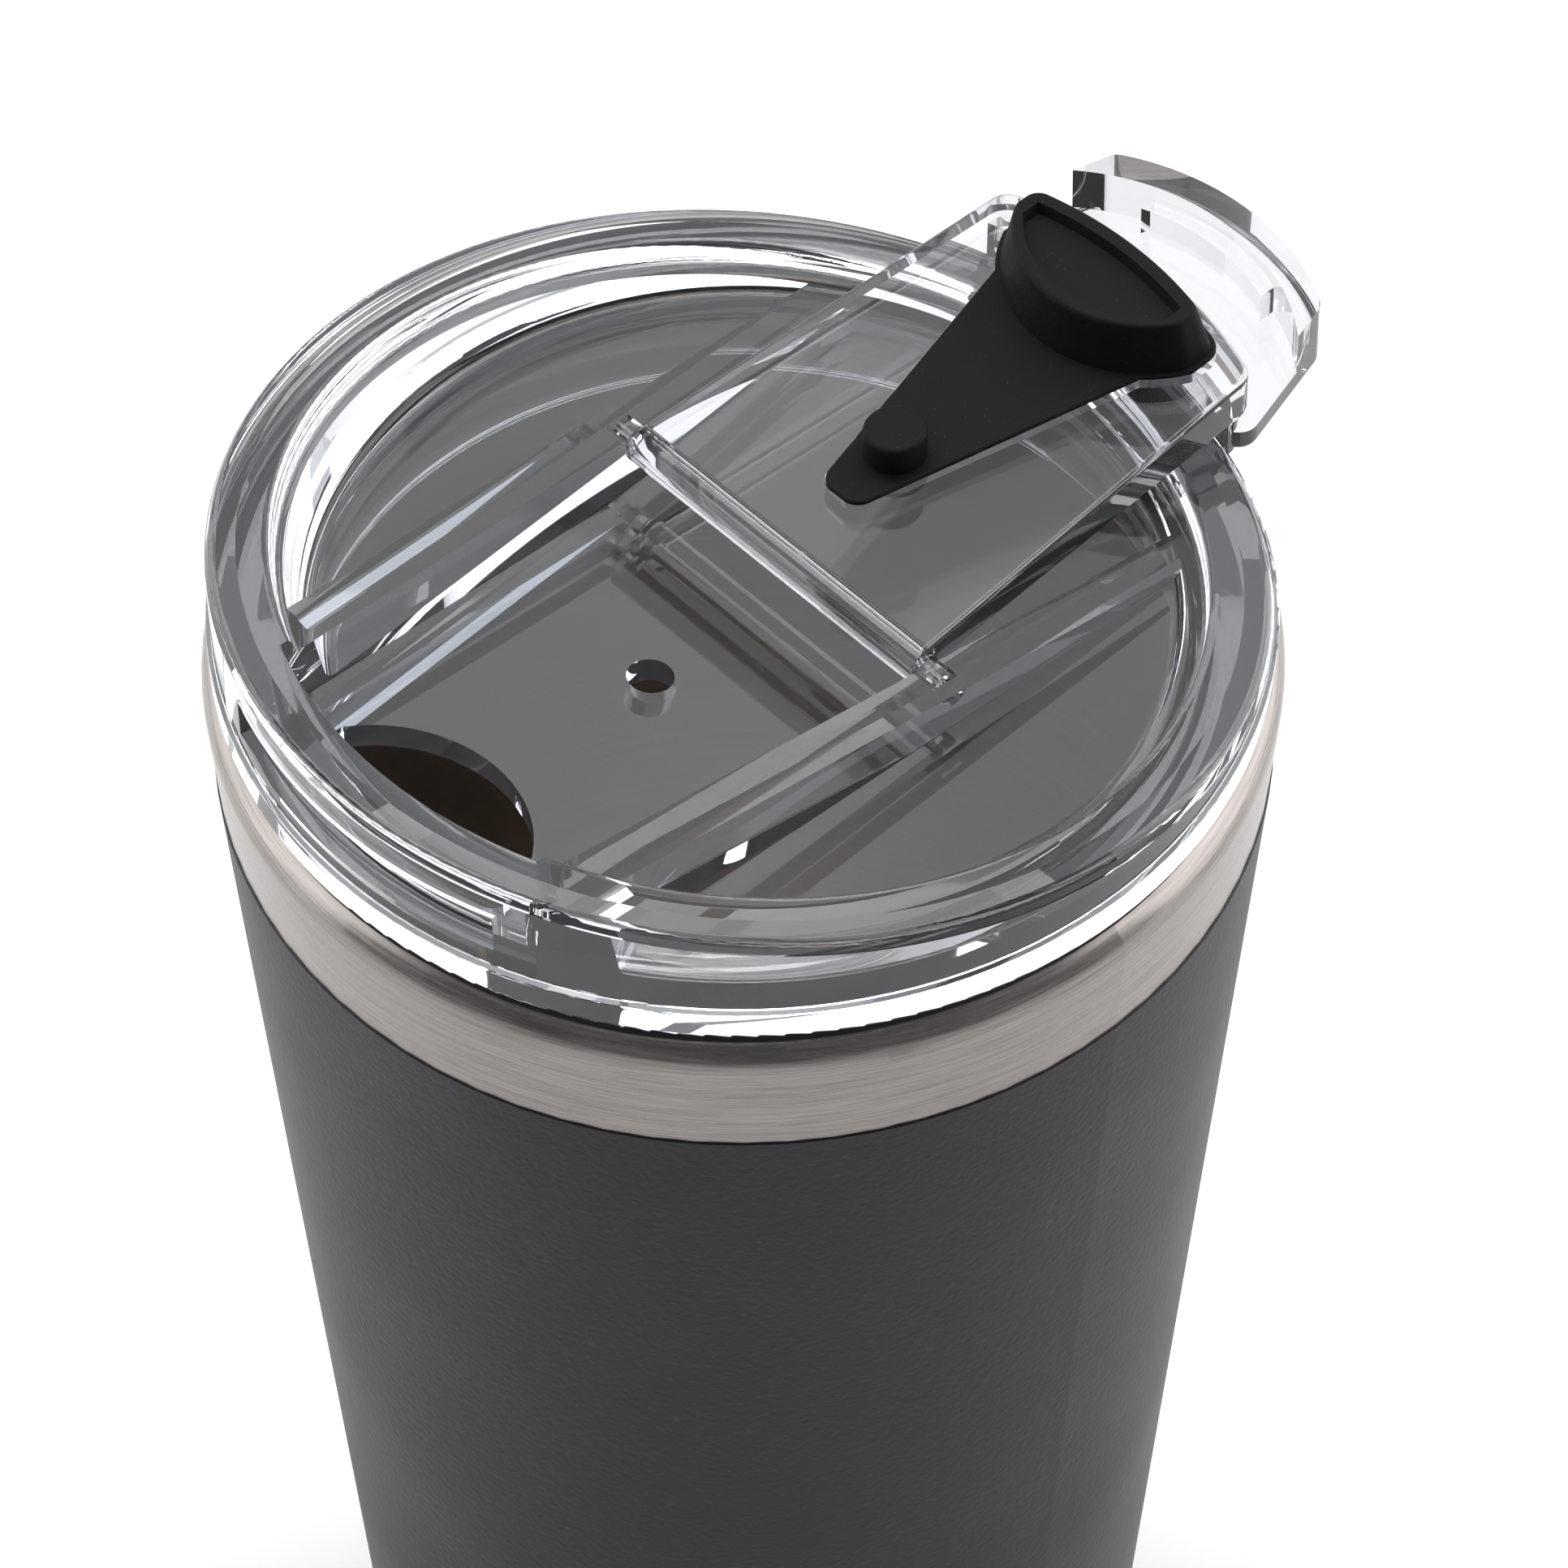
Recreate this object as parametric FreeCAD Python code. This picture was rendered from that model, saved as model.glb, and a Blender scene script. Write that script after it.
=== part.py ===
import FreeCAD, Part
import math
import os

# Insulated tumbler: a double-wall steel cup, a clear lid that plugs into it,
# and a clear closure hinged across the lid. All sizes in millimetres.
# +Z is up, the cup stands on Z = 0, and the drinking side faces -Y.

V = FreeCAD.Vector

# Cup
MOUTH_Z = 159.9          # top of the steel lip
BAND_BOTTOM_Z = 147.3    # lower edge of the bare band, upper edge of the coat
BAND_R = 44.55           # steel radius at the lower edge of the band
WALL_TAPER = 0.0645      # radius gained per millimetre of height
SHEET = 0.6              # outer sheet thickness
LINER_SHEET = 0.5
WELD_GAP = 0.03          # between the outer sheet's lip and the liner at their weld
COAT = 0.15              # powder coat thickness
SHOULDER_R = 3.2         # rounding between the band and the lip
FOOT_Z = 3.2             # lower end of the outer tube
FOOT_R = 2.6             # rounding of the foot
LINER_R = 41.0           # inside radius at the mouth
LINER_STRAIGHT_Z = 150.0 # above this the liner is straight for the lid
LINER_JOIN_Z = 22.0      # where the liner's bottom pan is welded on
LINER_FLOOR_Z = 13.0     # underside of the liner's floor
SEAL_PAN_Z = 7.2         # underside of the pan that closes the outer tube

# Lid
RIM_Z = 168.5            # height of the rim's slanted plane on the axis
RIM_SLOPE = math.tan(math.radians(7.0))
RIM_R = 44.0
FLANGE_R = 44.4
FLANGE_Z = 160.4         # underside of the flange
FLANGE_TOP_Z = 163.5
SKIRT_NECK_R = 38.4      # bottom of the skirt's groove that holds the gasket
GASKET_GAP = 0.03        # the gasket lies this loosely in its groove
GASKET_LIP_R = 43.9      # the gasket shows as a black line under the flange
BOWL_R = 38.4            # inside of the rim above the ledge
LEDGE_DEPTH = 2.0        # ledge and rail tops, below the rim plane
POCKET_R = 36.4          # inside of the rim at deck level
POCKET_TOP_R = 37.1      # the same wall where it meets the ledge
DECK_Z = 162.2           # top of the two side decks
DECK_T = 2.6
WALL_ROUND = 1.2         # rounding where a deck meets the curved wall
SKIRT_R = 39.7
SKIRT_IN_R = 37.4
SKIRT_BOTTOM_Z = 149.0
CHANNEL_HALF = 17.65     # half width of the channel at the hinge
CHANNEL_TAPER = 0.0542   # half width gained per millimetre towards the rear
CHANNEL_END_R = 39.6     # end wall of the channel on the drinking side
RAIL_OUT_HALF = 21.45    # outside of the rails at the hinge
RAIL_OUT_TAPER = 0.045
FLOOR_Z = 161.4          # channel floor at FLOOR_Y
FLOOR_Y = -10.0
FLOOR_SLOPE = math.tan(math.radians(8.0))
REAR_FLOOR_Z = 159.9
DRINK_Y = -27.4          # rear edge of the drink hole
DRINK_HALF = 11.0
DRINK_R = 37.6           # side of the hole that follows the rim
VENT_Y = -10.4
VENT_R = 2.0
GRIP_HALF_DEG = 20.5     # finger recess in the outside of the rim
GRIP_R = 42.2

# Closure, in its own frame: hinge axis along X at the origin,
# the plate reaches along +Y and its plug side faces +Z.
HINGE_Y = 4.2
HINGE_Z = 165.1
OPEN_TILT = 1.5          # degrees above level when laid back
PIN_R = 1.1
PIN_PLAY = 0.08          # radial play of the pins in their sockets
PIN_END = 19.7
BAR_R = 1.5
PLATE_HALF = 17.3
PLATE_FAR_HALF = 15.0
PLATE_FAR = 41.0
PLATE_END_R = 39.2       # end of the plate, concentric with the rim when shut
PLUG_SIDE_NEAR = 2.2
PLUG_SIDE_FAR = 3.0
TOP_SIDE_NEAR = -0.2
TOP_SIDE_FAR = -1.15
ROOF_IN = -3.4           # inner face of the thumb tab's roof
ROOF_OUT = -5.8
WEB_TOP = 1.5            # the web joins the end of the plate up to this height
TAB_END_R = 23.8
TAB_END_C = 31.1
TAB_HALF = 15.3          # half width of the tab beside the plate, at TAB_HALF_Y
TAB_HALF_Y = 41.0
TAB_END_HALF = 12.3      # half width of the tab at its outer corners, at TAB_END_Y
TAB_END_Y = 52.0
LIP_T = 2.6              # thickness of the tab's hanging lip
LIP_TOP = 1.2
TAB_IN_R = 44.8          # inner face of the tab, concentric with the rim when open
PLUG_H = 4.9             # top of the drink plug above the plate
PLUG_HALF = 11.2         # half width of the plug at its foot
PLUG_TOP_HALF = 9.8
PLUG_NEAR = 30.0
PLUG_KNEE = 36.9         # where the round near side meets the straight sides
PLUG_FAR_DRAFT = 1.4     # the far side leans in by this much from foot to face
PLUG_EDGE = 1.25         # width of the raised edge around the plug's dished face
DISH_DEPTH = 0.9
PLUG_FAR_R = 37.8        # far side of the plug, concentric with the rim when shut
INSERT_NEAR = 6.6        # narrow end of the silicone insert
INSERT_TIP_HALF = 2.1
INSERT_TAPER = 0.247     # half width gained per millimetre away from the hinge
INSERT_FAR_R = 38.0
FOOT_MARGIN = 0.15       # the insert shows this far around the plug's foot
INSERT_PROUD = 0.25      # the insert's face stands this far above the plate
POCKET_FLOOR = 1.1       # bottom of the insert's pocket
NUB_H = 3.0              # top of the vent nub above the plate
NUB_Y = 13.3
NUB_R = 2.7


def face_of(points):
    """Closed polygon face in YZ from (y, z) points."""
    corners = [V(0, y, z) for y, z in points]
    corners.append(corners[0])
    return Part.Face(Part.makePolygon(corners))


def round_wire(points):
    """Closed wire in XY through (x, y, radius) points, each corner rounded to its radius."""
    flat = [V(p[0], p[1], 0) for p in points]
    count = len(points)
    edges = []
    starts = []
    ends = []
    arcs = []
    for i in range(count):
        here = flat[i]
        back = (flat[i - 1] - here).normalize()
        ahead = (flat[(i + 1) % count] - here).normalize()
        radius = points[i][2] if len(points[i]) > 2 else 0.0
        if radius <= 0:
            starts.append(here)
            ends.append(here)
            arcs.append(None)
            continue
        half = math.acos(max(-1.0, min(1.0, back.dot(ahead)))) / 2
        run = radius / math.tan(half)
        bisector = (back + ahead).normalize()
        middle = here + bisector * (radius / math.sin(half) - radius)
        starts.append(here + back * run)
        ends.append(here + ahead * run)
        arcs.append(middle)
    for i in range(count):
        if arcs[i] is not None:
            edges.append(Part.Arc(starts[i], arcs[i], ends[i]).toShape())
        following = starts[(i + 1) % count]
        if (following - ends[i]).Length > 1e-6:
            edges.append(Part.makeLine(ends[i], following))
    return Part.Wire(edges)


def standing_face(points):
    """Upright face in XZ from rounded (radius, z, corner radius) points."""
    face = Part.Face(round_wire(points))
    face.rotate(V(0, 0, 0), V(1, 0, 0), 90)
    return face


def turned(points):
    """Solid of revolution about Z from rounded (radius, z, corner radius) points."""
    return standing_face(points).revolve(V(0, 0, 0), V(0, 0, 1), 360)


def across(points, half):
    """Prism with a (y, z) outline, centred on X."""
    face = face_of(points)
    face.translate(V(-half, 0, 0))
    return face.extrude(V(2 * half, 0, 0))


def upright(points, low, high):
    """Prism with a rounded (x, y, corner radius) outline between two heights."""
    face = Part.Face(round_wire(points))
    face.translate(V(0, 0, low))
    return face.extrude(V(0, 0, high - low))


def drum(radius, low, high, x=0.0, y=0.0):
    return Part.makeCylinder(radius, high - low, V(x, y, low))


def steel_r(z):
    return BAND_R + WALL_TAPER * (z - BAND_BOTTOM_Z)


def save(shape, name):
    solids = shape.Solids
    if len(solids) != 1:
        raise RuntimeError(name + " is " + str(len(solids)) + " solids")
    solid = solids[0]
    if not solid.isValid():
        raise RuntimeError(name + " is not valid")
    solid.exportStep("parts/" + name + ".step")
    print(name, round(solid.Volume, 1), "mm3")
    return solid


# ---------------------------------------------------------------- cup

def make_shell_tube():
    """Outer sheet: tapered wall, rounded shoulder, lip that meets the liner."""
    arc_z = MOUTH_Z - SHOULDER_R
    arc_r = steel_r(arc_z) - SHOULDER_R
    lip_r = LINER_R + LINER_SHEET + WELD_GAP
    diagonal = math.sqrt(0.5)
    outer_mid = V(arc_r + SHOULDER_R * diagonal, 0, arc_z + SHOULDER_R * diagonal)
    inner = SHOULDER_R - SHEET
    inner_mid = V(arc_r + inner * diagonal, 0, arc_z + inner * diagonal)
    a = V(steel_r(FOOT_Z) - SHEET, 0, FOOT_Z)
    b = V(steel_r(FOOT_Z), 0, FOOT_Z)
    c = V(steel_r(arc_z), 0, arc_z)
    d = V(arc_r, 0, MOUTH_Z)
    e = V(lip_r, 0, MOUTH_Z)
    f = V(lip_r, 0, MOUTH_Z - SHEET)
    g = V(arc_r, 0, MOUTH_Z - SHEET)
    h = V(steel_r(arc_z) - SHEET, 0, arc_z)
    edges = [
        Part.makeLine(a, b),
        Part.makeLine(b, c),
        Part.Arc(c, outer_mid, d).toShape(),
        Part.makeLine(d, e),
        Part.makeLine(e, f),
        Part.makeLine(f, g),
        Part.Arc(g, inner_mid, h).toShape(),
        Part.makeLine(h, a),
    ]
    face = Part.Face(Part.Wire(edges))
    return face.revolve(V(0, 0, 0), V(0, 0, 1), 360)


def make_powder_coat():
    """Thin coat on the outer wall, from the foot to the bare band."""
    low = FOOT_Z + 0.2
    high = BAND_BOTTOM_Z
    return turned([
        (steel_r(low), low),
        (steel_r(low) + COAT, low + 0.15),
        (steel_r(high) + COAT, high - 0.15),
        (steel_r(high), high),
    ])


def liner_out_r(z):
    return LINER_R + LINER_SHEET - WALL_TAPER * (LINER_STRAIGHT_Z - min(z, LINER_STRAIGHT_Z))


def make_liner_tube():
    """Inner sheet: straight at the mouth, then tapered like the outside."""
    return turned([
        (liner_out_r(LINER_JOIN_Z) - LINER_SHEET, LINER_JOIN_Z),
        (liner_out_r(LINER_JOIN_Z), LINER_JOIN_Z),
        (LINER_R + LINER_SHEET, LINER_STRAIGHT_Z, 6),
        (LINER_R + LINER_SHEET, MOUTH_Z),
        (LINER_R, MOUTH_Z, 0.3),
        (LINER_R, LINER_STRAIGHT_Z, 6),
    ])


def make_liner_bottom():
    """Deep-drawn pan with a generous corner, welded to the liner tube."""
    r = liner_out_r(LINER_JOIN_Z)
    foot = r - WALL_TAPER * (LINER_JOIN_Z - LINER_FLOOR_Z)
    return turned([
        (0, LINER_FLOOR_Z),
        (foot, LINER_FLOOR_Z, 6.5),
        (r, LINER_JOIN_Z),
        (r - LINER_SHEET, LINER_JOIN_Z),
        (foot - LINER_SHEET, LINER_FLOOR_Z + LINER_SHEET, 6.0),
        (0, LINER_FLOOR_Z + LINER_SHEET),
    ])


def make_shell_bottom():
    """Pan that closes the outer tube, with the evacuation hole in its middle."""
    top = SEAL_PAN_Z + 3.8
    r_top = steel_r(top) - SHEET
    r_low = steel_r(SEAL_PAN_Z) - SHEET
    pan = turned([
        (7.0, SEAL_PAN_Z, 0.8),
        (r_low, SEAL_PAN_Z, 1.8),
        (r_top, top),
        (r_top - SHEET, top),
        (r_low - SHEET, SEAL_PAN_Z + SHEET, 1.2),
        (6.6, SEAL_PAN_Z + SHEET, 0.8),
        (4.6, SEAL_PAN_Z + SHEET + 1.2, 0.6),
        (1.2, SEAL_PAN_Z + SHEET + 1.2),
        (1.2, SEAL_PAN_Z + 1.2),
        (5.0, SEAL_PAN_Z + 1.2, 0.6),
    ])
    return pan


def make_seal_bead():
    """Solder bead in the dished middle of the pan, closing the hole."""
    top = SEAL_PAN_Z + 1.2
    return turned([
        (0, top - 0.9),
        (3.0, top - 0.7, 0.5),
        (3.6, top),
        (1.2, top),
        (1.2, top + 0.5, 0.3),
        (0, top + 0.6),
    ])


def make_getter_pellet():
    """Pressed pellet beside the evacuation hole."""
    low = SEAL_PAN_Z + SHEET
    pellet = drum(4.0, low, low + 2.0, 15.0, 0.0)
    edges = [e for e in pellet.Edges if abs(e.BoundBox.ZMin - low - 2.0) < 1e-6]
    return pellet.makeFillet(0.4, edges)


def make_getter_strap():
    """Thin strap over the pellet with a welded foot on each side."""
    low = SEAL_PAN_Z + SHEET
    outer = [(-7.5, low), (-7.5, low + 0.3), (-4.35, low + 0.3), (-4.35, low + 2.3)]
    outer += [(4.35, low + 2.3), (4.35, low + 0.3), (7.5, low + 0.3), (7.5, low)]
    outer += [(4.05, low), (4.05, low + 2.0), (-4.05, low + 2.0), (-4.05, low)]
    strap = across(outer, 1.5)
    strap.translate(V(15.0, 0, 0))
    return strap


def make_base_cover():
    """Foot of the cup: rounded edge, flat sole with a pressed ring groove."""
    top = 6.0
    r_tube = steel_r(FOOT_Z)
    return turned([
        (0, 0),
        (24.0, 0, 0.6),
        (24.6, 0.5, 0.5),
        (26.4, 0.5, 0.5),
        (27.0, 0, 0.6),
        (r_tube - 0.1, 0, FOOT_R),
        (r_tube, FOOT_Z),
        (r_tube - SHEET, FOOT_Z),
        (steel_r(top) - SHEET, top),
        (steel_r(top) - 2 * SHEET, top),
        (r_tube - 2 * SHEET - 0.1, FOOT_Z),
        (r_tube - 2 * SHEET - 0.1, SHEET, FOOT_R - SHEET),
        (27.3, SHEET, 0.4),
        (26.7, 0.5 + SHEET, 0.4),
        (24.3, 0.5 + SHEET, 0.4),
        (23.7, SHEET, 0.4),
        (0, SHEET),
    ])


# ---------------------------------------------------------------- lid

def rim_cutter():
    """Everything above the rim: a turned profile, sheared to follow the slope."""
    cutter = turned([
        (0, -LEDGE_DEPTH),
        (BOWL_R, -LEDGE_DEPTH, 0.5),
        (BOWL_R, 0, 0.9),
        (41.4, 0),
        (43.5, -0.34, 0.9),
        (RIM_R, -1.5, 0.4),
        (46.0, -1.9),
        (46.0, 30),
        (0, 30),
    ])
    shear = FreeCAD.Matrix()
    shear.A32 = -RIM_SLOPE
    shear.A34 = RIM_Z
    return cutter.transformGeometry(shear)


def channel_half(y):
    return CHANNEL_HALF + CHANNEL_TAPER * (y - HINGE_Y)


def channel_plan(extra, low, high):
    """Upright prism over the channel's plan, widened by extra on each side."""
    front = channel_half(-50) + extra
    rear = channel_half(50) + extra
    return upright([(-front, -50), (front, -50), (rear, 50), (-rear, 50)], low, high)


def rail_plan(low, high):
    """Upright prism over the channel and both rails."""
    front = RAIL_OUT_HALF + RAIL_OUT_TAPER * (-50 - HINGE_Y)
    rear = RAIL_OUT_HALF + RAIL_OUT_TAPER * (50 - HINGE_Y)
    return upright([(-front, -50), (front, -50), (rear, 50), (-rear, 50)], low, high)


def floor_z(y):
    return FLOOR_Z - FLOOR_SLOPE * (y - FLOOR_Y)


def over_floor(drop):
    """Everything above the channel floor lowered by drop."""
    turn_y = FLOOR_Y + (FLOOR_Z - REAR_FLOOR_Z) / FLOOR_SLOPE
    return across([
        (-60, floor_z(-60) - drop),
        (turn_y, REAR_FLOOR_Z - drop),
        (60, REAR_FLOOR_Z - drop),
        (60, 200),
        (-60, 200),
    ], 60)


def ring_sector(points, half_deg):
    """Solid of revolution limited to half_deg each side of the drinking direction."""
    face = standing_face(points)
    face.rotate(V(0, 0, 0), V(0, 0, 1), -90 - half_deg)
    return face.revolve(V(0, 0, 0), V(0, 0, 1), 2 * half_deg)


def drink_hole():
    """D-shaped opening, round side to the rear, outer side along the rim."""
    side_y = -math.sqrt(DRINK_R ** 2 - DRINK_HALF ** 2)
    a = V(-DRINK_HALF, side_y, 0)
    b = V(DRINK_HALF, side_y, 0)
    knee_y = DRINK_Y - 6.8
    c = V(DRINK_HALF, knee_y, 0)
    d = V(-DRINK_HALF, knee_y, 0)
    edges = [
        Part.Arc(a, V(0, -DRINK_R, 0), b).toShape(),
        Part.makeLine(b, c),
        Part.Arc(c, V(0, DRINK_Y, 0), d).toShape(),
        Part.makeLine(d, a),
    ]
    prism = Part.Face(Part.Wire(edges)).extrude(V(0, 0, 30))
    prism.translate(V(0, 0, 150))
    upright_edges = []
    for edge in prism.Edges:
        box = edge.BoundBox
        if box.ZLength > 25:
            upright_edges.append(edge)
    return prism.makeFillet(1.2, upright_edges)


def make_lid_body():
    """Clear moulding: skirt, flange, slanted rim, decks, channel, rails and holes."""
    blank = turned([
        (0, 157.4),
        (SKIRT_IN_R, 157.4, 1.0),
        (SKIRT_IN_R - 0.2, SKIRT_BOTTOM_Z, 0.5),
        (SKIRT_R - 0.2, SKIRT_BOTTOM_Z, 0.8),
        (SKIRT_R, 155.0),
        (SKIRT_NECK_R, 155.0),
        (SKIRT_NECK_R, FLANGE_Z),
        (FLANGE_R, FLANGE_Z, 0.8),
        (FLANGE_R, FLANGE_TOP_Z, 0.2),
        (RIM_R, FLANGE_TOP_Z + 0.4, 0.2),
        (RIM_R, 180),
        (0, 180),
    ])
    lid = blank.cut(rim_cutter())

    # Two side pockets down to the decks, outside the rails.
    ledge_rise = RIM_Z - LEDGE_DEPTH - DECK_Z
    lean = (POCKET_TOP_R - POCKET_R) / ledge_rise
    pocket_h = 12.0
    pocket = Part.makeCone(POCKET_R, POCKET_R + lean * pocket_h, pocket_h, V(0, 0, DECK_Z))
    for pocket_side in pocket.cut(rail_plan(140, 195)).Solids:
        wall_edges = []
        for edge in pocket_side.Edges:
            box = edge.BoundBox
            if box.ZLength < 1e-6 and abs(box.ZMin - DECK_Z) < 1e-6 and box.XLength > 5:
                wall_edges.append(edge)
        pocket_side = pocket_side.makeFillet(WALL_ROUND, wall_edges)
        lid = lid.cut(pocket_side)

    # The channel between the rails.
    reach = drum(CHANNEL_END_R, 140, 190).common(Part.makeBox(100, 50, 60, V(-50, -50, 140)))
    reach = reach.fuse(drum(POCKET_R, 140, 190).common(Part.makeBox(100, 50, 60, V(-50, 0, 140))))
    channel = channel_plan(0, 140, 190).common(reach).common(over_floor(0))
    lid = lid.cut(channel)

    # Finger recess in the outside of the rim, under the tab when it is shut.
    grip = ring_sector([
        (GRIP_R, RIM_Z - 2.4, 0.9),
        (GRIP_R + 0.1, RIM_Z + 1.0, 0.7),
        (46.0, RIM_Z + 1.6),
        (46.0, RIM_Z - 3.0),
    ], GRIP_HALF_DEG)
    lid = lid.cut(grip)

    # Underside: open below the decks and below the sloped floor.
    under = drum(SKIRT_IN_R - 0.6, 150, DECK_Z - DECK_T)
    under = under.cut(channel_plan(1.4, 140, 195))
    lid = lid.cut(under)
    below = channel_plan(-1.2, 140, 195).common(drum(SKIRT_IN_R - 0.6, 150, 175))
    below = below.cut(over_floor(DECK_T))
    lid = lid.cut(below)

    # Drink hole and vent hole.
    lid = lid.cut(drink_hole())
    lid = lid.cut(drum(VENT_R, 150, 175, 0, VENT_Y))

    # Open-topped pin sockets in the rails.
    socket_r = PIN_R + PIN_PLAY
    start = CHANNEL_HALF - 0.5
    length = PIN_END + 0.25 - start
    for side in (-1, 1):
        centre = V(side * start, HINGE_Y, HINGE_Z)
        socket = Part.makeCylinder(socket_r, length, centre, V(side, 0, 0))
        slot = Part.makeBox(length, 2 * socket_r, 6)
        left = start if side > 0 else -start - length
        slot.translate(V(left, HINGE_Y - socket_r, HINGE_Z))
        lid = lid.cut(socket.fuse(slot))
    return lid


def make_lid_gasket():
    """Rubber ring under the flange: one lip over the steel and two wiping fins."""
    top = FLANGE_Z - GASKET_GAP
    bore = SKIRT_NECK_R + GASKET_GAP
    low = 155.03
    return turned([
        (bore, low),
        (39.7, low, 0.2),
        (39.8, low + 0.5),
        (40.85, low + 1.2, 0.15),
        (40.85, low + 1.5, 0.15),
        (39.9, low + 1.6),
        (39.9, low + 2.4),
        (40.85, low + 3.1, 0.15),
        (40.85, low + 3.4, 0.15),
        (40.1, low + 3.5),
        (40.1, MOUTH_Z + 0.05, 0.3),
        (43.0, MOUTH_Z + 0.05, 0.2),
        (GASKET_LIP_R, MOUTH_Z - 0.3, 0.12),
        (GASKET_LIP_R, top, 0.12),
        (bore, top),
    ])


# ---------------------------------------------------------------- closure

def plate_plan(extra):
    """Outline of the tapered plate, its end concentric with the rim when shut."""
    trapezium = upright([
        (-PLATE_HALF - extra, -1.5),
        (PLATE_HALF + extra, -1.5),
        (PLATE_FAR_HALF - 0.35 + extra, PLATE_FAR + 6),
        (-PLATE_FAR_HALF + 0.35 - extra, PLATE_FAR + 6),
    ], -8, 8)
    plan = trapezium.common(drum(PLATE_END_R + extra, -8, 8, 0, HINGE_Y))
    corners = []
    for edge in plan.Edges:
        box = edge.BoundBox
        if box.ZLength > 15 and box.YMin > 20:
            corners.append(edge)
    return plan.makeFillet(2.2, corners)


def arched_prism(half, near, knee, far, low, high):
    """Prism with a round near side, straight sides at half width and a square far end."""
    a = V(half, knee, low)
    b = V(-half, knee, low)
    c = V(-half, far, low)
    d = V(half, far, low)
    outline = Part.Wire([
        Part.Arc(a, V(0, near, low), b).toShape(),
        Part.makeLine(b, c),
        Part.makeLine(c, d),
        Part.makeLine(d, a),
    ])
    return Part.Face(outline).extrude(V(0, 0, high - low))


def insert_plan(grow, low, high):
    """Outline of the silicone insert: a wedge that ends in the plug's D-shaped foot."""
    tip = INSERT_TIP_HALF + grow
    far = 50.0
    half = tip + INSERT_TAPER * (far - INSERT_NEAR)
    wedge = upright([
        (-tip, INSERT_NEAR - grow, 1.8),
        (tip, INSERT_NEAR - grow, 1.8),
        (half, far),
        (-half, far),
    ], low, high)
    skirt = PLUG_HALF + FOOT_MARGIN + grow
    foot = arched_prism(skirt, PLUG_NEAR - FOOT_MARGIN - grow, PLUG_KNEE, far, low, high)
    strip = Part.makeBox(2 * skirt, far, high - low, V(-skirt, 0, low))
    plan = wedge.common(strip).fuse(foot)
    plan = plan.common(drum(INSERT_FAR_R + grow, low, high, 0, HINGE_Y)).removeSplitter()
    corners = []
    for edge in plan.Edges:
        box = edge.BoundBox
        if box.ZLength > high - low - 0.1 and box.YMin > 38:
            corners.append(edge)
    return plan.makeFillet(2.2, corners)


def plug_outline(shrink, far_shrink, knee, z):
    """D-shaped wire of the plug at height z, drawn in all round and on its far side."""
    half = PLUG_HALF - shrink
    near = PLUG_NEAR + shrink
    far_r = PLUG_FAR_R - far_shrink
    side_y = HINGE_Y + math.sqrt(far_r ** 2 - half ** 2)
    a = V(half, knee, z)
    b = V(-half, knee, z)
    c = V(-half, side_y, z)
    d = V(half, side_y, z)
    return Part.Wire([
        Part.Arc(a, V(0, near, z), b).toShape(),
        Part.makeLine(b, c),
        Part.Arc(c, V(0, HINGE_Y + far_r, z), d).toShape(),
        Part.makeLine(d, a),
    ])


def plug_side(y):
    return PLUG_SIDE_NEAR + (PLUG_SIDE_FAR - PLUG_SIDE_NEAR) * y / PLATE_FAR


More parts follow.
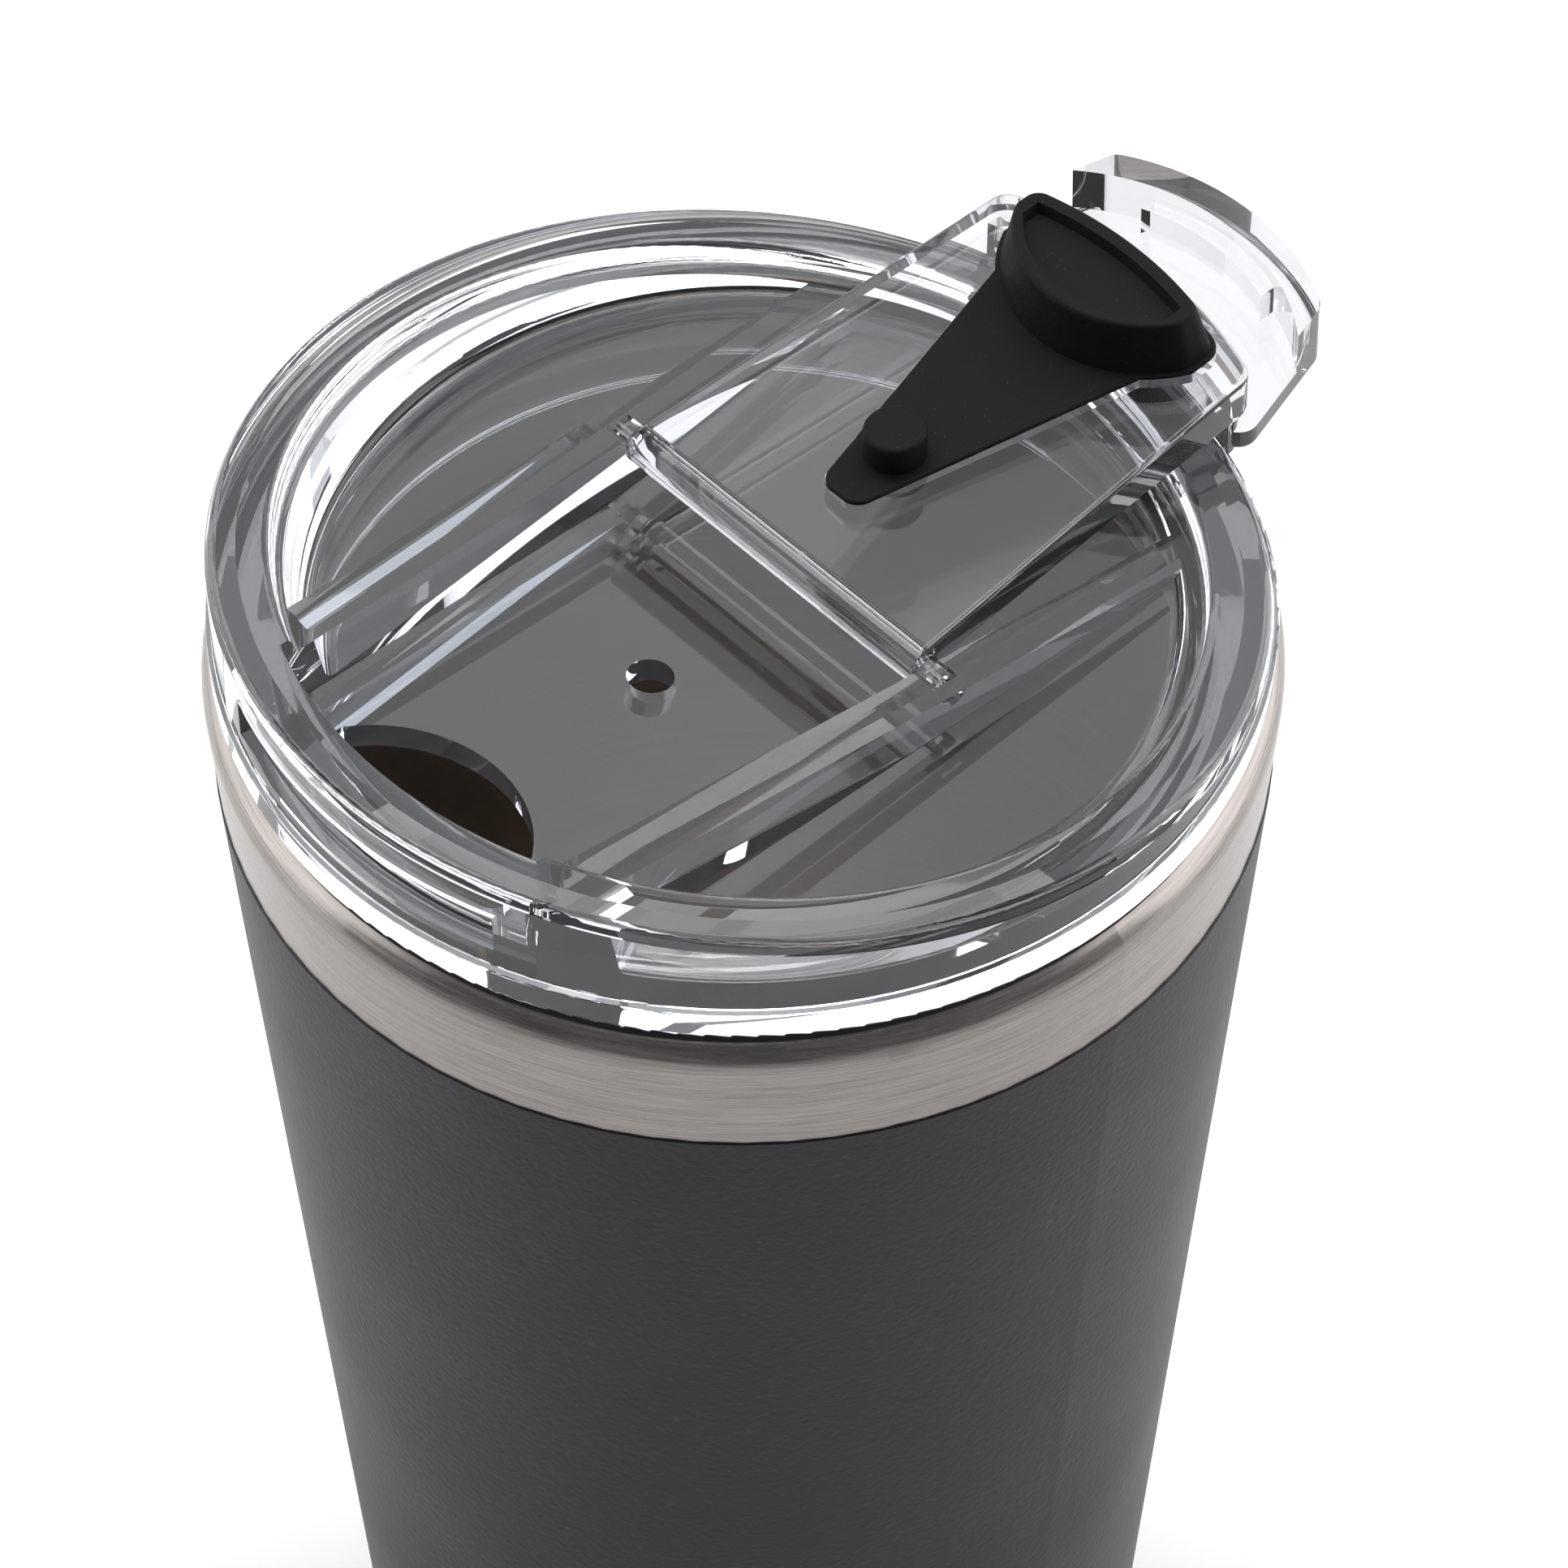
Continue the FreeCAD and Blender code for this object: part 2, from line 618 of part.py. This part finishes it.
def make_flip_closure():
    """Wedge plate with hinge bar, pins, thumb tab and a pocket for the insert."""
    profile = [
        (-1.4, 0),
        (0, TOP_SIDE_NEAR),
        (PLATE_FAR, TOP_SIDE_FAR),
        (50, TOP_SIDE_FAR),
        (50, plug_side(50)),
        (0, PLUG_SIDE_NEAR),
        (-0.9, PLUG_SIDE_NEAR - 0.4),
        (-1.4, PLUG_SIDE_NEAR - 1.1),
    ]
    plate = across(profile, 30).common(plate_plan(0))
    edges = []
    for edge in plate.Edges:
        middle = edge.valueAt((edge.FirstParameter + edge.LastParameter) / 2)
        on_plug_side = abs(middle.z - plug_side(middle.y)) < 0.01
        if on_plug_side and middle.y > 1:
            edges.append(edge)
    plate = plate.makeFillet(0.5, edges)
    bar = Part.makeCylinder(BAR_R, 2 * PLATE_HALF, V(-PLATE_HALF, 0, 0), V(1, 0, 0))
    pins = Part.makeCylinder(PIN_R, 2 * PIN_END, V(-PIN_END, 0, 0), V(1, 0, 0))
    ends = [e for e in pins.Edges if e.BoundBox.XLength < 1e-6]
    pins = pins.makeChamfer(0.2, ends)
    body = plate.fuse(bar).fuse(pins)

    # Thumb tab: a web that passes over the rim and a lip that hangs outside it.
    arc = drum(TAB_END_R, ROOF_OUT, LIP_TOP, 0, TAB_END_C)
    taper = (TAB_HALF - TAB_END_HALF) / (TAB_END_Y - TAB_HALF_Y)
    wide = TAB_HALF + taper * (TAB_HALF_Y - 34)
    narrow = TAB_END_HALF - taper * (60 - TAB_END_Y)
    outline = [(-wide, 34), (wide, 34), (narrow, 60), (-narrow, 60)]
    sides = upright(outline, ROOF_OUT, LIP_TOP)
    tab = arc.common(sides).cut(drum(TAB_IN_R, -9, 9, 0, -HINGE_Y))
    upright_edges = []
    for edge in tab.Edges:
        if edge.BoundBox.ZLength > 6:
            upright_edges.append(edge)
    tab = tab.makeFillet(1.8, upright_edges)
    low_edges = []
    for edge in tab.Edges:
        box = edge.BoundBox
        if box.ZMax < ROOF_OUT + 0.01 and box.YMin > TAB_HALF_Y:
            low_edges.append(edge)
    tab = tab.makeFillet(0.8, low_edges)
    hollow = drum(TAB_END_R - LIP_T, ROOF_IN, 9, 0, TAB_END_C)
    hollow = hollow.fuse(upright([(-30, 30), (30, 30), (30, 46.5), (-30, 46.5)], ROOF_IN, 9))
    tab = tab.cut(hollow)
    latch = drum(TAB_END_R - LIP_T + 0.5, ROOF_IN - 0.2, LIP_TOP - 1.5, 0, TAB_END_C)
    latch = latch.cut(drum(TAB_END_R - LIP_T - 1.5, -9, 9, 0, TAB_END_C))
    latch = latch.common(Part.makeBox(14.4, 20, 20, V(-7.2, 44, -10)))
    tab = tab.fuse(latch)
    web = plate_plan(-0.6).cut(drum(TAB_IN_R, -9, 9, 0, -HINGE_Y))
    web = web.common(Part.makeBox(60, 40, WEB_TOP - ROOF_OUT, V(-30, 20, ROOF_OUT)))
    body = body.fuse(web).fuse(tab)
    body = body.removeSplitter()

    # Pocket that holds the silicone insert, open on the plug side.
    body = body.cut(insert_plan(0.05, POCKET_FLOOR, 8))
    return body


def make_flip_plug():
    """Silicone insert: wedge base, D-shaped plug with a dished face, round vent nub."""
    base = insert_plan(0, POCKET_FLOOR + 0.02, 8)
    near_face = PLUG_SIDE_NEAR + INSERT_PROUD
    far_face = plug_side(60) + INSERT_PROUD
    base = base.cut(across([(0, near_face), (60, far_face), (60, 20), (0, 20)], 30))
    upper = []
    for edge in base.Edges:
        middle = edge.valueAt((edge.FirstParameter + edge.LastParameter) / 2)
        if abs(middle.z - plug_side(middle.y) - INSERT_PROUD) < 0.01:
            upper.append(edge)
    base = base.makeFillet(0.2, upper)
    low = POCKET_FLOOR + 0.9
    high = plug_side(35) + PLUG_H
    draw_in = PLUG_HALF - PLUG_TOP_HALF
    foot = plug_outline(0, 0, PLUG_KNEE, low)
    face = plug_outline(draw_in, PLUG_FAR_DRAFT, PLUG_KNEE, high)
    plug = Part.makeLoft([foot, face], True, True)
    rims = []
    for edge in plug.Edges:
        if edge.BoundBox.ZLength > 1:
            rims.append(edge)
    plug = plug.makeFillet(1.6, rims)
    tops = []
    for edge in plug.Edges:
        if edge.BoundBox.ZMin > high - 0.01:
            tops.append(edge)
    plug = plug.makeFillet(0.45, tops)
    edge = PLUG_EDGE
    far = PLUG_FAR_DRAFT + edge
    knee = PLUG_KNEE - 0.5
    dish_low = plug_outline(draw_in + edge + 0.4, far + 0.4, knee, high - DISH_DEPTH)
    dish_high = plug_outline(draw_in + edge, far, knee, high + 0.1)
    plug = plug.cut(Part.makeLoft([dish_low, dish_high], True, True))
    nub_top = plug_side(NUB_Y) + NUB_H
    nub = drum(NUB_R, POCKET_FLOOR + 0.9, nub_top, 0, NUB_Y)
    nub = nub.makeFillet(0.35, [e for e in nub.Edges if e.BoundBox.ZMin > nub_top - 0.01])
    return base.fuse(plug).fuse(nub)


def laid_open(shape):
    """Place a closure shape on the lid in its laid-back position."""
    placed = shape.copy()
    placed.rotate(V(0, 0, 0), V(1, 0, 0), OPEN_TILT)
    placed.translate(V(0, HINGE_Y, HINGE_Z))
    return placed


os.makedirs("parts", exist_ok=True)

save(make_shell_tube(), "shell_tube")
save(make_powder_coat(), "powder_coat")
save(make_shell_bottom(), "shell_bottom")
save(make_liner_tube(), "liner_tube")
save(make_liner_bottom(), "liner_bottom")
save(make_base_cover(), "base_cover")
save(make_getter_pellet(), "getter_pellet")
save(make_getter_strap(), "getter_strap")
save(make_seal_bead(), "seal_bead")
save(make_lid_body(), "lid_body")
save(make_lid_gasket(), "lid_gasket")
save(laid_open(make_flip_closure()), "flip_closure")
save(laid_open(make_flip_plug()), "flip_plug")
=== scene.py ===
import math

import bpy
from mathutils import Matrix, Vector

# An insulated tumbler: bare steel band, charcoal powder coat, clear lid with a
# clear closure laid back over its rear rim. Sizes are in metres.

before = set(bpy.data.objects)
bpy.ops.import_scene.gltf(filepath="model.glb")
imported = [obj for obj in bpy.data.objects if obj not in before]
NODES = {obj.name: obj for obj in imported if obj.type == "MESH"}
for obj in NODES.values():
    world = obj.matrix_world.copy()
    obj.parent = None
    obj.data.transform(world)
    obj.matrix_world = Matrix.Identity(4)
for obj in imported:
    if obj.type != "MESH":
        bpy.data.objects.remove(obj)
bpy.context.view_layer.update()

# Camera
LENS_MM = 168.37
SENSOR_MM = 36.0
CAMERA_AT = Vector((0.29596, -0.27119, 0.61838))
LOOKS_AT = Vector((0.00228, 0.00245, 0.13909))
CAMERA_ROLL = math.radians(-0.26)
CLIP_NEAR = 0.01
CLIP_FAR = 20

# Studio
FLOOR_HALF = 3.0
LAMPS_FACE = Vector((0, 0, 0.12))
SURROUND_COLOUR = (0.94, 0.97, 1.0, 1)
SURROUND = 0.2              # strength of the surround
SURROUND_IN_PLASTIC = 0.75  # its strength for light that comes through clear plastic

# Turned and brushed finishes
TURN_AXIS_CLEAR = 0.0005   # radius below which a turned texture stops narrowing
ACROSS_THE_LINES = 0.25    # quarter turn: highlights spread at right angles to the brushing
COARSE_ALONG = 0.4         # the coarse lines are longer and wider than the fine ones
COARSE_ACROSS = 0.3
FINE_SHARE = 0.8           # how much of the tone is fine lines; the rest is coarse ones

# Clear plastic
CLARITY = 0.992            # the rest is a faint haze
SHADOW_THROUGH = 0.9       # how much of the lamps' light reaches what is behind
PLASTIC_IOR = 1.5

# A noise texture's values gather in its middle, so tones are read from this span of it.
NOISE_LOW = 0.3
NOISE_HIGH = 0.7


# ---------------------------------------------------------------- node helpers

class Graph:
    """A material's node tree, with short ways to add and join nodes."""

    def __init__(self, name):
        self.material = bpy.data.materials.new(name)
        self.material.use_nodes = True
        self.tree = self.material.node_tree
        self.tree.nodes.clear()
        self.out = self.tree.nodes.new("ShaderNodeOutputMaterial")
        self.shader = self.tree.nodes.new("ShaderNodeBsdfPrincipled")
        self.join(self.shader.outputs[0], self.out.inputs["Surface"])

    def add(self, kind, **settings):
        node = self.tree.nodes.new(kind)
        for key, value in settings.items():
            setattr(node, key, value)
        return node

    def join(self, source, target):
        self.tree.links.new(source, target)

    def put(self, target, value):
        """Sets an input to a number or colour, or links it to an output."""
        if isinstance(value, bpy.types.NodeSocket):
            self.join(value, target)
        else:
            target.default_value = value

    def math(self, operation, a, b=0.0):
        node = self.add("ShaderNodeMath", operation=operation)
        self.put(node.inputs[0], a)
        self.put(node.inputs[1], b)
        return node.outputs[0]

    def position(self):
        return self.add("ShaderNodeTexCoord").outputs["Object"]

    def noise(self, where, scale, detail=2.0, rough=0.5):
        node = self.add("ShaderNodeTexNoise")
        self.join(where, node.inputs["Vector"])
        node.inputs["Scale"].default_value = scale
        node.inputs["Detail"].default_value = detail
        node.inputs["Roughness"].default_value = rough
        return node.outputs["Fac"]

    def spread(self, value, low, high, from_low=0.0, from_high=1.0):
        node = self.add("ShaderNodeMapRange")
        self.join(value, node.inputs["Value"])
        node.inputs["From Min"].default_value = from_low
        node.inputs["From Max"].default_value = from_high
        node.inputs["To Min"].default_value = low
        node.inputs["To Max"].default_value = high
        return node.outputs["Result"]

    def between(self, value, dark, light):
        node = self.add("ShaderNodeMix", data_type="RGBA")
        self.join(value, node.inputs["Factor"])
        node.inputs["A"].default_value = (*dark, 1)
        node.inputs["B"].default_value = (*light, 1)
        return node.outputs["Result"]

    def bump(self, height, depth):
        node = self.add("ShaderNodeBump")
        self.join(height, node.inputs["Height"])
        node.inputs["Distance"].default_value = depth
        node.inputs["Strength"].default_value = 1.0
        return node.outputs["Normal"]

    def cloudy(self, value, low, high):
        """Spreads a noise's middle values over the whole span from low to high."""
        return self.spread(value, low, high, NOISE_LOW, NOISE_HIGH)

    def speckled(self, base, speck, noise, threshold, full):
        """The base colour with specks where the noise passes the threshold."""
        mask = self.spread(noise, 0.0, 1.0, threshold, full)
        node = self.add("ShaderNodeMix", data_type="RGBA")
        self.join(mask, node.inputs["Factor"])
        self.join(base, node.inputs["A"])
        node.inputs["B"].default_value = (*speck, 1)
        return node.outputs["Result"]

    def shade(self, **inputs):
        """Sets the main shader's inputs: underscores in the names stand for spaces."""
        for name, value in inputs.items():
            self.put(self.shader.inputs[name.replace("_", " ")], value)


def ring_coords(graph, along, across, radial):
    """Coordinates that stretch a texture along the turning direction about Z.

    along is how often it changes per radian, across per metre of height and radial per
    metre of radius.
    """
    place = graph.position()
    parts = graph.add("ShaderNodeSeparateXYZ")
    graph.join(place, parts.inputs[0])
    x, y, z = parts.outputs
    x_squared = graph.math("MULTIPLY", x, x)
    y_squared = graph.math("MULTIPLY", y, y)
    radius = graph.math("SQRT", graph.math("ADD", x_squared, y_squared))
    safe = graph.math("MAXIMUM", radius, TURN_AXIS_CLEAR)
    joined = graph.add("ShaderNodeCombineXYZ")
    graph.join(graph.math("MULTIPLY", graph.math("DIVIDE", x, safe), along), joined.inputs[0])
    graph.join(graph.math("MULTIPLY", graph.math("DIVIDE", y, safe), along), joined.inputs[1])
    lengthwise = graph.math("MULTIPLY", z, across)
    outward = graph.math("MULTIPLY", radius, radial)
    graph.join(graph.math("ADD", lengthwise, outward), joined.inputs[2])
    return joined.outputs[0]


# ---------------------------------------------------------------- materials

def brushed_steel(
    name, dark, light, roughness, line_depth, radial=0.0, anisotropy=0.5, along=6.0, across=5200.0
):
    """Steel brushed along the turning direction, with fine scratches and faint smears."""
    graph = Graph(name)
    where = ring_coords(graph, along, across, radial)
    lines = graph.noise(where, 1.0, 3.0, 0.6)
    coarse_where = ring_coords(graph, along * COARSE_ALONG, across * COARSE_ACROSS, radial * COARSE_ACROSS)
    coarse = graph.noise(coarse_where, 1.0, 2.0)
    smears = graph.noise(graph.position(), 55.0, 3.0)
    fine_part = graph.math("MULTIPLY", lines, FINE_SHARE)
    coarse_part = graph.math("MULTIPLY", coarse, 1 - FINE_SHARE)
    tone = graph.math("ADD", fine_part, coarse_part)
    tangent = graph.add("ShaderNodeTangent", direction_type="RADIAL", axis="Z")
    graph.join(tangent.outputs[0], graph.shader.inputs["Tangent"])
    graph.shade(
        Base_Color=graph.between(graph.cloudy(tone, 0.0, 1.0), dark, light),
        Metallic=1.0,
        Roughness=graph.math(
            "ADD",
            graph.cloudy(tone, roughness - 0.05, roughness + 0.06),
            graph.spread(smears, -0.02, 0.03),
        ),
        Anisotropic=anisotropy,
        Anisotropic_Rotation=ACROSS_THE_LINES,
        Normal=graph.bump(tone, line_depth),
    )
    return graph.material


def powder_coat():
    """Charcoal powder coat: fine orange peel, a few dust specks, slight wear of gloss."""
    graph = Graph("charcoal_powder_coat")
    place = graph.position()
    peel = graph.noise(place, 1500.0, 1.5, 0.45)
    grain = graph.noise(place, 5200.0, 2.0, 0.6)
    cloud = graph.noise(place, 38.0, 3.0)
    specks = graph.noise(place, 900.0, 0.0)
    base = graph.between(
        graph.cloudy(cloud, 0.0, 1.0), (0.0100, 0.0085, 0.0115), (0.0140, 0.0120, 0.0155)
    )
    height = graph.math("ADD", peel, graph.math("MULTIPLY", grain, 0.25))
    graph.shade(
        Base_Color=graph.speckled(base, (0.026, 0.026, 0.028), specks, 0.82, 0.86),
        Roughness=graph.cloudy(cloud, 0.44, 0.52),
        Normal=graph.bump(height, 0.00006),
        Specular_IOR_Level=0.28,
    )
    return graph.material


def clear_plastic(name, tint_and_painted_shade, waviness):
    """Clear injection moulding: polished, faintly hazy, with flow waves and hairline scuffs."""
    graph = Graph(name)
    place = graph.position()
    flow = graph.noise(place, 60.0, 1.0)
    scuff_place = graph.add("ShaderNodeMapping")
    graph.join(place, scuff_place.inputs["Vector"])
    scuff_place.inputs["Scale"].default_value = (1.0, 9.0, 4.0)
    scuffs = graph.noise(scuff_place.outputs[0], 420.0, 2.0)
    graph.shade(
        Base_Color=graph.between(graph.cloudy(flow, 0.0, 1.0), tint_and_painted_shade, tuple(c * 1.02 for c in tint_and_painted_shade)),
        Roughness=graph.spread(scuffs, 0.005, 0.03, 0.45, 0.75),
        Transmission_Weight=CLARITY,
        IOR=PLASTIC_IOR,
        Normal=graph.bump(flow, waviness),
    )
    # Lamplight passes nearly straight through, so the plastic hardly shades what is inside.
    light_path = graph.add("ShaderNodeLightPath")
    see_through = graph.add("ShaderNodeBsdfTransparent")
    see_through.inputs["Color"].default_value = (SHADOW_THROUGH, SHADOW_THROUGH, SHADOW_THROUGH, 1)
    mixed = graph.add("ShaderNodeMixShader")
    graph.join(light_path.outputs["Is Shadow Ray"], mixed.inputs[0])
    graph.join(graph.shader.outputs[0], mixed.inputs[1])
    graph.join(see_through.outputs[0], mixed.inputs[2])
    graph.join(mixed.outputs[0], graph.out.inputs["Surface"])
    return graph.material


def silicone():
    """Black silicone: matte skin with a fine grain and a little dust."""
    graph = Graph("black_silicone")
    place = graph.position()
    fine = graph.noise(place, 6500.0, 2.0, 0.6)
    cloud = graph.noise(place, 160.0, 3.0)
    dust = graph.noise(place, 5000.0, 0.0)
    base = graph.between(
        graph.cloudy(cloud, 0.0, 1.0), (0.0055, 0.0055, 0.0065), (0.0085, 0.0085, 0.0095)
    )
    graph.shade(
        Base_Color=graph.speckled(base, (0.03, 0.03, 0.03), dust, 0.8, 0.86),
        Roughness=graph.cloudy(cloud, 0.56, 0.68),
        Normal=graph.bump(fine, 0.00002),
        Specular_IOR_Level=0.1,
    )
    return graph.material


def powder_metal():
    """Pressed metal powder of the getter pellet: coarse grain, dull."""
    graph = Graph("getter_powder")
    place = graph.position()
    grain = graph.noise(place, 3000.0, 4.0, 0.7)
    graph.shade(
        Base_Color=graph.between(grain, (0.08, 0.078, 0.075), (0.24, 0.235, 0.23)),
        Metallic=0.4,
        Roughness=graph.spread(grain, 0.6, 0.85),
        Normal=graph.bump(grain, 0.0001),
    )
    return graph.material


def solder():
    """Dull solder with a frosted, slightly pitted skin."""
    graph = Graph("dull_solder")
    place = graph.position()
    pits = graph.noise(place, 1800.0, 3.0, 0.6)
    graph.shade(
        Base_Color=graph.between(pits, (0.3, 0.3, 0.31), (0.52, 0.52, 0.53)),
        Metallic=1.0,
        Roughness=graph.spread(pits, 0.35, 0.55),
        Normal=graph.bump(pits, 0.00008),
    )
    return graph.material


def dress(node, material):
    """Gives a CAD node its finish."""
    piece = NODES[node]
    piece.data.materials.clear()
    piece.data.materials.append(material)


band_steel = brushed_steel(
    "band_brushed_steel",
    dark=(0.205, 0.185, 0.172),
    light=(0.385, 0.352, 0.334),
    roughness=0.27,
    line_depth=0.000003,
)
liner_steel = brushed_steel(
    "liner_steel",
    dark=(0.42, 0.37, 0.325),
    light=(0.475, 0.42, 0.37),
    roughness=0.34,
    line_depth=0.0000006,
    radial=3000.0,
    anisotropy=0.4,
    along=2.5,
    across=3200.0,
)
base_steel = brushed_steel(
    "base_spun_steel",
    dark=(0.40, 0.38, 0.36),
    light=(0.58, 0.56, 0.53),
    roughness=0.33,
    line_depth=0.000005,
    radial=9000.0,
)
sheet_steel = brushed_steel(
    "inner_sheet_steel",
    dark=(0.38, 0.37, 0.36),
    light=(0.5, 0.49, 0.48),
    roughness=0.42,
    line_depth=0.000005,
    radial=5000.0,
    anisotropy=0.2,
)
black_silicone = silicone()
lid_plastic = clear_plastic("lid_clear_plastic", tint_and_painted_shade=(0.89, 0.905, 0.94), waviness=0.00002)
# The closure's grey tint is painted shade: it darkens the closure as the shadow it casts on the floor
# beneath would.
flip_plastic_painted_shade = clear_plastic("closure_painted_shade_plastic", tint_and_painted_shade=(0.71, 0.71, 0.73), waviness=0.00002)

dress("shell_tube", band_steel)
dress("powder_coat", powder_coat())
dress("liner_tube", liner_steel)
dress("liner_bottom", liner_steel)
dress("base_cover", base_steel)
dress("shell_bottom", sheet_steel)
dress("getter_strap", sheet_steel)
dress("getter_pellet", powder_metal())
dress("seal_bead", solder())
dress("lid_body", lid_plastic)
# The gasket is black silicone, and its black also stands in for the shade in the gap under the lid's
# flange: partly painted shade.
dress("lid_gasket", black_silicone)
dress("flip_closure", flip_plastic_painted_shade)
dress("flip_plug", black_silicone)


# ---------------------------------------------------------------- studio

def floor():
    """Plain pale floor."""
    half = FLOOR_HALF
    corners = [(-half, -half, 0), (half, -half, 0), (half, half, 0), (-half, half, 0)]
    mesh = bpy.data.meshes.new("floor")
    mesh.from_pydata(corners, [], [(0, 1, 2, 3)])
    piece = bpy.data.objects.new("floor", mesh)
    bpy.context.scene.collection.objects.link(piece)
    graph = Graph("pale_floor")
    cloud = graph.noise(graph.position(), 3.0)
    graph.shade(
        Base_Color=graph.between(cloud, (0.9, 0.9, 0.9), (0.93, 0.93, 0.93)),
        Roughness=0.7,
        Specular_IOR_Level=0.2,
    )
    mesh.materials.append(graph.material)


def lamp(name, place, width, height, power):
    """Soft box facing the object."""
    light = bpy.data.lights.new(name, "AREA")
    light.shape = "RECTANGLE"
    light.size = width
    light.size_y = height
    light.energy = power
    lamp_object = bpy.data.objects.new(name, light)
    lamp_object.location = place
    lamp_object.rotation_mode = "QUATERNION"
    lamp_object.rotation_quaternion = (LAMPS_FACE - place).to_track_quat("-Z", "Y")
    bpy.context.scene.collection.objects.link(lamp_object)


def surround():
    """Plain surround, brighter for light that comes through clear plastic."""
    world = bpy.data.worlds.new("studio")
    world.use_nodes = True
    tree = world.node_tree
    backdrop = tree.nodes["Background"]
    backdrop.inputs["Color"].default_value = SURROUND_COLOUR
    light_path = tree.nodes.new("ShaderNodeLightPath")
    strength = tree.nodes.new("ShaderNodeMapRange")
    strength.inputs["To Min"].default_value = SURROUND
    strength.inputs["To Max"].default_value = SURROUND_IN_PLASTIC
    tree.links.new(light_path.outputs["Is Transmission Ray"], strength.inputs["Value"])
    tree.links.new(strength.outputs["Result"], backdrop.inputs["Strength"])
    bpy.context.scene.world = world


def lights():
    """Soft boxes placed from the camera's side of the object: ahead is away from the camera."""
    ahead = LOOKS_AT - CAMERA_AT
    ahead.z = 0
    ahead.normalize()
    up = Vector((0, 0, 1))
    side = ahead.cross(up)

    def at(rightwards, forwards, upwards):
        return LAMPS_FACE + side * rightwards + ahead * forwards + up * upwards

    lamp("left_box", at(-0.95, 0.3, 0.4), 1.3, 1.1, 9.5)
    lamp("right_box", at(0.95, 0.3, 0.4), 1.3, 1.1, 11.0)
    lamp("back_box", at(0, 1.15, 0.8), 2.4, 1.2, 8.5)
    lamp("top_box", at(0, 0.42, 1.05), 1.1, 0.45, 6.0)
    lamp("over_box", at(0, 0.2, 1.2), 1.0, 0.6, 2.4)


def camera():
    data = bpy.data.cameras.new("camera")
    data.lens = LENS_MM
    data.sensor_width = SENSOR_MM
    data.clip_start = CLIP_NEAR
    data.clip_end = CLIP_FAR
    piece = bpy.data.objects.new("camera", data)
    bpy.context.scene.collection.objects.link(piece)
    facing = (LOOKS_AT - CAMERA_AT).to_track_quat("-Z", "Y").to_matrix()
    turned = facing @ Matrix.Rotation(CAMERA_ROLL, 3, "Z")
    piece.matrix_world = Matrix.Translation(CAMERA_AT) @ turned.to_4x4()
    bpy.context.scene.camera = piece


bpy.context.scene.view_settings.view_transform = "Standard"
surround()
floor()
lights()
camera()
